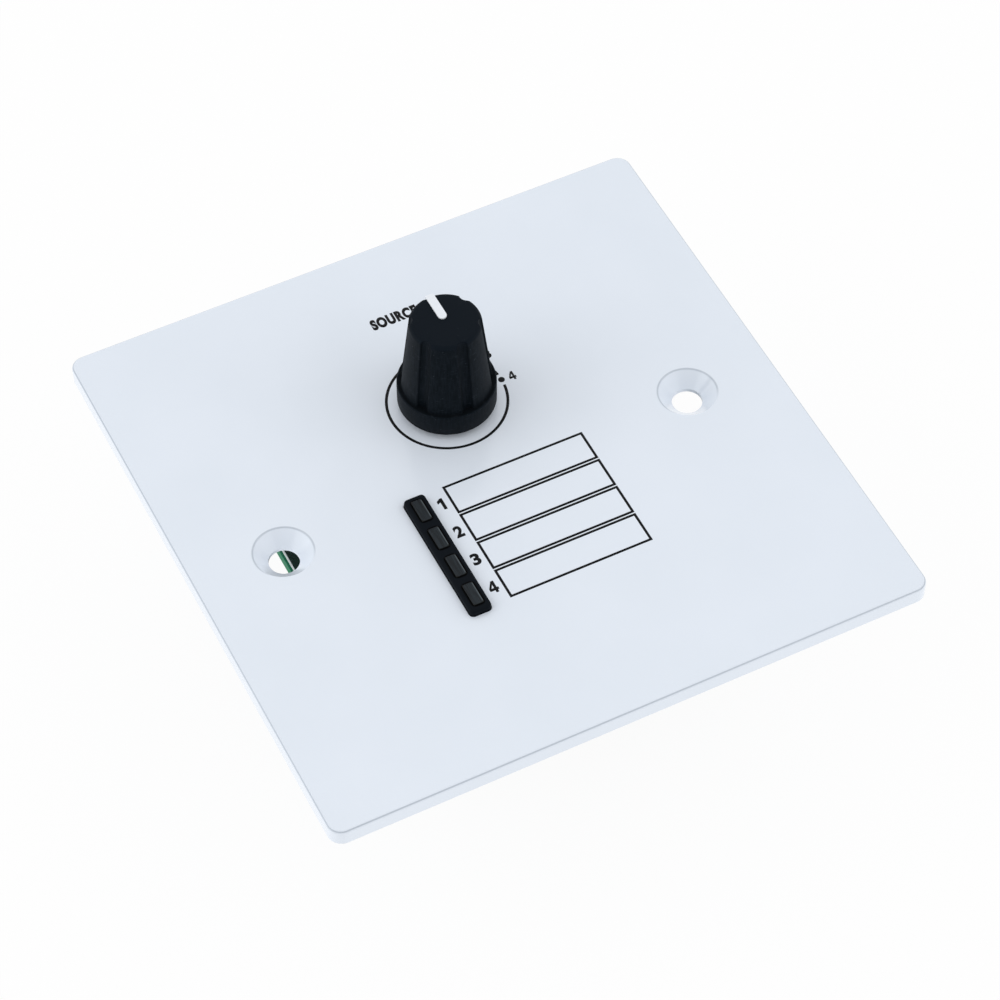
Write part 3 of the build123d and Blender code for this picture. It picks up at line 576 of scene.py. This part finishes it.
nickel = metalwork("nickel_plate", srgb(150, 150, 147), srgb(196, 195, 190), 0.3 * mm, 0.16)
zinc = metalwork("cast_zinc", srgb(120, 123, 127), srgb(168, 170, 173), 0.5 * mm, 0.35)
dress(zinc, "switch_bushing")
dress(nickel, "switch_nut", "lock_washer", "switch_rivets", "detent_balls", "detent_springs")
lathe_lines = (2 * mm, 2 * mm, 0.06 * mm)
aluminium = metalwork("turned_aluminium", srgb(160, 162, 166), srgb(204, 206, 208), lathe_lines, 0.22)
dress(aluminium, "switch_shaft")


# Switch mouldings: a black nylon case ring, a natural acetal rotor and a brown laminate base
# that carries the contacts. Four rivets hold them together.
def moulding(name, dark, light, size, rough):
    """Plastic whose colour and gloss drift a little, with a fine moulded grain."""
    material, shader, where = surface(name, Specular_IOR_Level=0.4)
    drift = noise(where, size, 3.0)
    mixed(drift, dark, light).feed(shader, "Base Color")
    (rough + 0.15 * drift).feed(shader, "Roughness")
    relief(noise(where, 0.08 * mm, 3.0), 0.004 * mm).feed(shader, "Normal")
    return material


nylon = moulding("case_nylon", srgb(30, 32, 36), srgb(48, 50, 54), 1.2 * mm, 0.4)
dress(nylon, "switch_housing")
acetal = moulding("rotor_acetal", srgb(222, 220, 210), srgb(238, 236, 228), 1.5 * mm, 0.3)
dress(acetal, "switch_rotor")
pressed_layers = (3 * mm, 3 * mm, 0.12 * mm)
laminate = moulding("base_laminate", srgb(100, 62, 36), srgb(142, 94, 56), pressed_layers, 0.5)
dress(laminate, "switch_base")
contact_brass = metalwork("contact_brass", srgb(184, 150, 84), srgb(216, 186, 118), 0.4 * mm, 0.2)
dress(contact_brass, "position_contacts", "common_contacts", "wiper_contacts")

# Circuit board: glass-cloth laminate with green solder mask over copper on both faces, and
# raw green cloth along its sawn edges.
board_low, board_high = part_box("circuit_board")
board_half = board_high.x
board_top, board_rear = board_high.z, board_low.z
board_corner_r = 1.5 * mm
cloth_weave = 0.35 * mm
board, board_shader, place = surface("board_green", Specular_IOR_Level=0.3)
x, y, z = axes(place)
board_reach = rounded_reach(x, y, board_half, board_half, board_corner_r)
sawn = rise(board_reach, -0.03 * mm, -0.01 * mm)
unmasked = rise(board_reach, -0.38 * mm, -0.34 * mm)
copper_drift = noise(place, 5 * mm, 2.0)
cloth = place.node("TexChecker", inputs={"Vector": place, "Scale": 1 / cloth_weave}, output=1)
rear_green = mixed(copper_drift, srgb(5, 56, 38), srgb(12, 80, 56))
# Painted shade: the front face, which lies in the plate's shade, takes a darker copy of the mask green.
shaded_front_green = mixed(copper_drift, srgb(2, 26, 18), srgb(5, 38, 26))
mask_green = mixed(rise(z, board_rear, board_top), rear_green, shaded_front_green)
mask_green = mixed(cloth * 0.1, mask_green, srgb(30, 100, 72))
layers = noise(place, (0.4 * mm, 0.4 * mm, 0.06 * mm))
edge_green = mixed(layers, srgb(12, 96, 64), srgb(36, 134, 96))
mixed(unmasked, mask_green, edge_green).feed(board_shader, "Base Color")
(0.22 + 0.1 * copper_drift + 0.4 * sawn).feed(board_shader, "Roughness")
relief(cloth * 0.4 + noise(place, 0.3 * mm) * 0.6, 0.003 * mm).feed(board_shader, "Normal")
dress(board, "circuit_board")

# Copper tracks: etched in the copper on the board's rear and seen as low ridges in a lighter
# green under the mask. They join the lamps, their resistors, the switch and the jack.
track_film = 0.035 * mm
track_width, rail_width = 0.42 * mm, 0.75 * mm
chip_x = -17.3 * mm
lamp_rows = lamp_y + lamp_pitch * (1.5 - row_steps)
lead_reach, lead_run = 1.27 * mm, 1.7 * mm
chip_half = 1 * mm
ladder_y = 2.8 * mm
rail_x = -20.5 * mm
jack_side_x, jack_bend = -2.3 * mm, 0.3 * mm
jack_entries = (-12.2 - 1.2 * row_steps) * mm


def over(flat_skin):
    """The same skin facing the other way."""
    points, faces = flat_skin
    return points, faces[:, ::-1]


def strip_along(route, width, level):
    """Flat strip along a route: each corner moves out along the line that halves it, by half
    the width over the cosine of half the turn."""
    route = np.asarray(route, float)
    runs = np.diff(route, axis=0)
    runs = runs / np.linalg.norm(runs, axis=1, keepdims=True)
    before, after = np.vstack([runs[:1], runs]), np.vstack([runs, runs[-1:]])
    along = before + after
    along = along / np.linalg.norm(along, axis=1, keepdims=True)
    half = width / 2 / np.sum(along * before, axis=1, keepdims=True)
    side = np.stack([-along[:, 1], along[:, 0]], axis=-1) * half
    return skin(levelled(np.stack([route - side, route + side]), level))


def bent(start, first, last, end):
    """Route that runs level, slopes at 45 degrees and runs level again."""
    return [start, (first, start[1]), (last, end[1]), end]


lead_routes = [
    bent((lamp_x, row + lead_reach), lamp_x - lead_run, lamp_x - lead_run - lead_reach,
         (chip_x + chip_half, row))
    for row in lamp_rows
]
return_routes = []
for row, entry in zip(lamp_rows - lead_reach, jack_entries):
    slope = abs(row - entry)
    bend_x = jack_side_x - jack_bend
    return_routes.append(bent((lamp_x, row), bend_x - slope, bend_x, (jack_side_x, entry)))
rail_routes = [[(chip_x - chip_half, row), (rail_x, row)] for row in lamp_rows]
rail_routes.append([
    (rail_x, lamp_rows[-1]), (rail_x, 0.9 * mm), (rail_x + 1.9 * mm, ladder_y),
    (-5.2 * mm, ladder_y),
])
switch_routes = np.array([
    [(4.0, 9.6), (4.0, 5.0), (2.55, 3.55), (2.55, 2.8)],
    [(-3.4, 9.6), (-3.4, 5.0), (-1.95, 3.55), (-1.95, 2.8)],
    [(5.3, 11.95), (9.0, 8.25), (9.0, -6.0), (9.0, -10.0)],
    [(5.3, 14.65), (10.3, 9.65), (10.3, -6.0), (10.3, -10.0)],
    [(4.0, 17.0), (6.0, 17.0), (11.6, 11.4), (11.6, -10.0)],
    [(-4.7, 11.95), (-8.2, 11.95), (-9.6, 10.55), (-9.6, 6.5)],
    [(-4.7, 14.65), (-10.8, 14.65), (-12.2, 13.25), (-12.2, 6.5)],
    [(-3.4, 17.0), (-12.6, 17.0), (-14.8, 14.8), (-14.8, 6.5)],
]) * mm
ladder_routes = np.array([
    [(-3.2, 2.8), (-0.7, 2.8)],
    [(1.3, 2.8), (3.8, 2.8)],
    [(-2.8, 13.3), (3.4, 13.3)],
    [(0.3, 13.3), (0.3, -10.0)],
]) * mm
thin_tracks = [*lead_routes, *return_routes, *switch_routes]
tracks = [over(strip_along(route, track_width, board_rear)) for route in thin_tracks]
wide_tracks = [*rail_routes, *ladder_routes]
tracks += [over(strip_along(route, rail_width, board_rear)) for route in wide_tracks]
copper, copper_shader, place = surface("masked_copper")
etched = noise(place, 0.6 * mm, 3.0)
mixed(etched, srgb(22, 98, 66), srgb(38, 126, 86)).feed(copper_shader, "Base Color")
(0.2 + 0.14 * etched).feed(copper_shader, "Roughness")
relief(etched, 0.003 * mm).feed(copper_shader, "Normal")
piece("board_tracks", tracks, copper, "wall_unit", film=track_film)

# Board printing: white ink on both faces of the board, a border line close inside its edge
# and outlines of what is fitted there.
silk_film = 0.02 * mm
silk_width, chip_line_width = 0.27 * mm, 0.189 * mm
border = board_half - 0.485 * mm
switch_half = 8.8 * mm
jack_margin, jack_open = 0.4 * mm, 1 * mm
chip_line_half, chip_line_off = 0.9 * mm, 1.0 * mm
ladder_pitch = 4.5 * mm
ladder_xs = dial_x + ladder_pitch * np.arange(-1, 2)
chip_centres = [(chip_x, row) for row in lamp_rows]
chip_centres += [(ladder_x, ladder_y) for ladder_x in ladder_xs]
silk, silk_shader, place = surface("board_ink", Specular_IOR_Level=0.4)
speckle = noise(place, 0.15 * mm, 3.0)
mixed(speckle, srgb(226, 230, 226), srgb(248, 250, 246)).feed(silk_shader, "Base Color")
(0.5 + 0.2 * speckle).feed(silk_shader, "Roughness")
relief(speckle, 0.003 * mm).feed(silk_shader, "Normal")
front_print = [
    box_line(-border, border, -border, border, silk_width, board_top),
    box_line(dial_x - switch_half, dial_x + switch_half, dial_y - switch_half, dial_y + switch_half,
             silk_width, board_top),
]
piece("board_print_front", front_print, silk, "wall_unit", film=silk_film)
jack_low, jack_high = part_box("jack_housing")
jack_left, jack_right = jack_low.x - jack_margin, jack_high.x + jack_margin
jack_top, jack_foot = jack_high.y + jack_margin, -border + jack_open
jack_line = [
    (jack_left, jack_foot), (jack_left, jack_top), (jack_right, jack_top),
    (jack_right, jack_foot),
]
rear_print = [
    box_line(-border, border, -border, border, silk_width, board_rear),
    strip_along(jack_line, silk_width, board_rear),
]
for chip_mid, chip_y in chip_centres:
    for line_y in (chip_y - chip_line_off, chip_y + chip_line_off):
        chip_line = [(chip_mid - chip_line_half, line_y), (chip_mid + chip_line_half, line_y)]
        rear_print.append(strip_along(chip_line, chip_line_width, board_rear))
piece("board_print_rear", [over(line) for line in rear_print], silk, "wall_unit", film=silk_film)

# Solder: each pin and wire is soldered through a tinned pad, with a bright cone that runs up
# the pin. Chips have a small fillet at each end, and a tinned ring lies under each screw.
pad_r, pin_fillet_r = 0.95 * mm, 0.42 * mm
solder_rise = 0.75 * mm
tail_pad_r, tail_fillet_r = 0.6 * mm, 0.24 * mm
chip_end = 0.98 * mm
fillet_run, fillet_rise, fillet_half = 0.55 * mm, 0.42 * mm, 0.62 * mm
screw_x, screw_pad_r, screw_pad_width = 22.5 * mm, 2.5 * mm, 1.7 * mm
via_r = 0.42 * mm
pin_turns = np.radians([45, 15, -15, -45, 225, 195, 165, 135])
pin_r, common_r = 5.2 * mm, 3.1 * mm
switch_pins = np.stack([dial_x + pin_r * np.cos(pin_turns), dial_y + pin_r * np.sin(pin_turns)], axis=-1)
commons = np.array([(dial_x - common_r, dial_y), (dial_x + common_r, dial_y)])
lead_ys = np.concatenate([lamp_rows + lead_reach, lamp_rows - lead_reach])
lamp_leads = np.stack([np.full_like(lead_ys, lamp_x), lead_ys], axis=-1)
wires = np.arange(8)
jack_tails = np.stack([5.0 + 1.016 * (wires - 3.5), -17.6 + 2.54 * (wires % 2)], axis=-1) * mm


def cone(centre, base_r, tip_r, height, level, way):
    """Solder cone: a pad's edge, then a radius that falls as the square of what is left of the
    rise, and a flat tip. It stands up from the level, or hangs from it where the way is -1."""
    left = np.linspace(1, 0, 8)
    ring_r = np.concatenate([[0, base_r, base_r], tip_r + (base_r * 0.88 - tip_r) * left**2, [0]])
    up = np.concatenate([[0, 0, 0.04], 0.06 + 0.94 * (1 - left), [1]]) * height
    turn = way * np.linspace(0, 2 * np.pi, 24, endpoint=False)
    across, rise_z = ring_r[:, None], up[:, None] * np.ones_like(turn)
    grid = np.stack([
        centre[0] + across * np.cos(turn), centre[1] + across * np.sin(turn), level + way * rise_z,
    ], axis=-1)
    return skin(grid, wrap_columns=True)


def end_fillet(chip_mid, chip_y, side):
    """Solder at a chip's end: a quarter curve from the chip's flank down to the pad, carried
    along the end, with both ends closed."""
    sweep = np.linspace(0, np.pi / 2, 7)
    out = fillet_run * np.concatenate([[0], 1 - np.sin(sweep), [0]])
    down = fillet_rise * np.concatenate([[0], 1 - np.cos(sweep), [1]])
    along = fillet_half * np.array([0, -1, -1, 1, 1, 0])[:, None]
    shrink = np.array([0, 1, 1, 1, 1, 0])[:, None]
    grid = np.stack(np.broadcast_arrays(
        chip_mid + side * (chip_end + out * shrink), chip_y + along, board_rear - down * shrink,
    ), axis=-1)
    return skin(grid) if side > 0 else over(skin(grid))


solder = metalwork("solder", srgb(150, 152, 154), srgb(200, 202, 202), 0.4 * mm, 0.18)
rear_cones = [
    cone(pin, pad_r, pin_fillet_r, solder_rise, board_rear, -1)
    for pin in np.concatenate([switch_pins, commons, lamp_leads])
]
front_cones = [
    cone(tail, tail_pad_r, tail_fillet_r, solder_rise, board_top, 1) for tail in jack_tails
]
piece("solder_cones", rear_cones + front_cones, solder, "wall_unit", slot="tinned_wire", crease=50.0)
chip_fillets = [end_fillet(*centre, side) for centre in chip_centres for side in (-1, 1)]
piece("chip_solder", chip_fillets, solder, "wall_unit", slot="tinned_wire", crease=50.0)
vias = np.array([
    (-9.6, 6.5), (-12.2, 6.5), (-14.8, 6.5), (-20.5, 20.0), (20.0, 20.0), (18.0, -4.0),
]) * mm
pads = [
    over(arc_band(pad_x, -screw_x, screw_pad_r, screw_pad_width, 0, 2 * np.pi, board_rear))
    for pad_x in (-screw_x, screw_x)
]
pads += [over(disc(*via, via_r, board_rear)) for via in vias]
piece("board_pads", pads, solder, "wall_unit", slot="tinned_wire", film=track_film * 1.2)

# Fasteners: nickel-plated brass standoffs pressed into the plate, and zinc-plated pan-head
# screws that hold the board to them.
plated_brass = metalwork("plated_brass", srgb(168, 164, 150), srgb(208, 204, 190), lathe_lines, 0.24)
dress(plated_brass, "standoffs")
zinc_plate = metalwork("zinc_plate", srgb(140, 145, 150), srgb(190, 195, 200), 0.35 * mm, 0.22)
dress(zinc_plate, "board_screws")

# Jack: a black moulded shell with the contact carrier inside it and eight gold-plated spring
# wires, soldered to the board. The lamps' tinned wires go through the board beside it.
jack_black = moulding("jack_black", srgb(22, 22, 25), srgb(38, 38, 42), 0.8 * mm, 0.32)
dress(jack_black, "jack_housing", "jack_carrier")
gold_wire = metalwork("gold_wire", srgb(214, 170, 84), srgb(240, 204, 122), 0.3 * mm, 0.14)
dress(gold_wire, "jack_contacts")
tinned_wire = metalwork("tinned_wire", srgb(160, 162, 162), srgb(204, 206, 204), 0.3 * mm, 0.25)
dress(tinned_wire, "led_leads")

# Chip resistors: small blocks of fired ceramic with a black glass top and tinned ends, which
# are soldered flat on the board's rear.
glass_edge = (0.62 * mm, 0.68 * mm)
chip, chip_shader, place = surface("chip_black")
x = axes(place)[0]
from_ladder = x - ladder_xs[0]
from_ladder = from_ladder.math("PINGPONG", from_ladder, ladder_pitch / 2)
from_chip = from_ladder.math("MINIMUM", from_ladder, abs(x - chip_x))
tinned_end = rise(from_chip, *glass_edge)
glaze = noise(place, 0.3 * mm, 3.0)
glass = mixed(glaze, srgb(14, 14, 16), srgb(32, 32, 35))
mixed(tinned_end, glass, srgb(190, 192, 192)).feed(chip_shader, "Base Color")
tinned_end.feed(chip_shader, "Metallic")
(0.24 + 0.12 * glaze).feed(chip_shader, "Roughness")
relief(glaze, 0.004 * mm).feed(chip_shader, "Normal")
dress(chip, "chip_resistors")

# Studio: a white floor under the part, hidden from the light that bounces, a pale room that is
# brighter below the horizon to throw light back up, and a large soft lamp on each side of the
# camera, which stands where the photograph was taken from.
floor_half = 3.0
floor_glow = 0.93
room_light, bounced_light = 0.8, 1.2
rear_light = 0.3
rear_x, rear_y = 0.44, 0.9
soft_size = 0.9
soft_middle, soft_aside = Vector((-0.1, -0.2, 0.46)), Vector((0.74, -0.37, 0.0))


def in_sight(tree):
    """One for rays from the camera, off gloss or through glass, and nought for the light that
    falls on the part: the greatest of the three."""
    path = tree.nodes.new("ShaderNodeLightPath").outputs
    sight = Field(tree, path["Is Camera Ray"])
    for ray in ("Is Glossy Ray", "Is Transmission Ray"):
        sight = sight.math("MAXIMUM", sight, Field(tree, path[ray]))
    return sight


floor_corners = np.array([[(-1, -1), (1, -1)], [(-1, 1), (1, 1)]]) * floor_half
floor_points, floor_faces = skin(levelled(floor_corners, cad_low.z))
floor_mesh = bpy.data.meshes.new("floor")
floor_mesh.from_pydata(floor_points.tolist(), [], floor_faces.tolist())
floor = bpy.data.objects.new("floor", floor_mesh)
bpy.context.scene.collection.objects.link(floor)
floor.visible_diffuse = False
floor_paint = bpy.data.materials.new("floor_paint")
floor_paint.use_nodes = True
tree = floor_paint.node_tree
tree.nodes.remove(tree.nodes["Principled BSDF"])
seen = in_sight(tree)
from_below = seen.node("NewGeometry", output="Backfacing")
matt = seen.node("BsdfDiffuse", inputs={"Color": (0.92, 0.92, 0.92, 1.0)})
glow = seen.node("Emission", inputs={"Color": (1.0, 1.0, 1.0, 1.0), "Strength": 1.0})
lit = seen.node("MixShader", inputs={0: seen * floor_glow, 1: matt, 2: glow})
shown = seen.node("MixShader", inputs={0: from_below, 1: lit, 2: seen.node("BsdfTransparent")})
shown.feed(tree.nodes["Material Output"], "Surface")
floor_mesh.materials.append(floor_paint)

room = bpy.data.worlds.new("room")
bpy.context.scene.world = room
room.use_nodes = True
tree = room.node_tree
backdrop = in_sight(tree)
x, y, skyward = axes(Field(tree, tree.nodes.new("ShaderNodeTexCoord").outputs["Object"]))
above = room_light + rear_light * (rear_x * x + rear_y * y)
lit = bounced_light + (above - bounced_light) * rise(skyward, -0.1, 0.1)
(lit + (1 - lit) * backdrop).feed(tree.nodes["Background"], "Strength")
tree.nodes["Background"].inputs["Color"].default_value = (1.0, 1.0, 1.0, 1.0)

for side, lamp_name, power in ((-1, "left_lamp", 2.7), (1, "right_lamp", 1.9)):
    lamp_data = bpy.data.lights.new(lamp_name, "AREA")
    lamp_data.shape = "SQUARE"
    lamp_data.size = soft_size
    lamp_data.energy = power
    soft_lamp = bpy.data.objects.new(lamp_name, lamp_data)
    soft_lamp.location = soft_middle + side * soft_aside
    soft_lamp.rotation_euler = (-Vector(soft_lamp.location)).to_track_quat("-Z", "Y").to_euler()
    soft_lamp.visible_camera = False
    bpy.context.scene.collection.objects.link(soft_lamp)

camera_place = Vector((-130.155, -265.758, 379.383)) * mm
camera_right = Vector((0.89384, -0.44837, -0.003577))
camera_up = Vector((0.356894, 0.706603, 0.611014))
camera_data = bpy.data.cameras.new("camera")
camera_data.sensor_width = 36.0
camera_data.lens = 129.2
camera_data.clip_start = 0.01
camera = bpy.data.objects.new("camera", camera_data)
turned_to = Matrix((camera_right, camera_up, camera_right.cross(camera_up))).transposed()
camera.matrix_world = Matrix.Translation(camera_place) @ turned_to.to_4x4()
bpy.context.scene.collection.objects.link(camera)
bpy.context.scene.camera = camera
bpy.context.scene.view_settings.view_transform = "Standard"
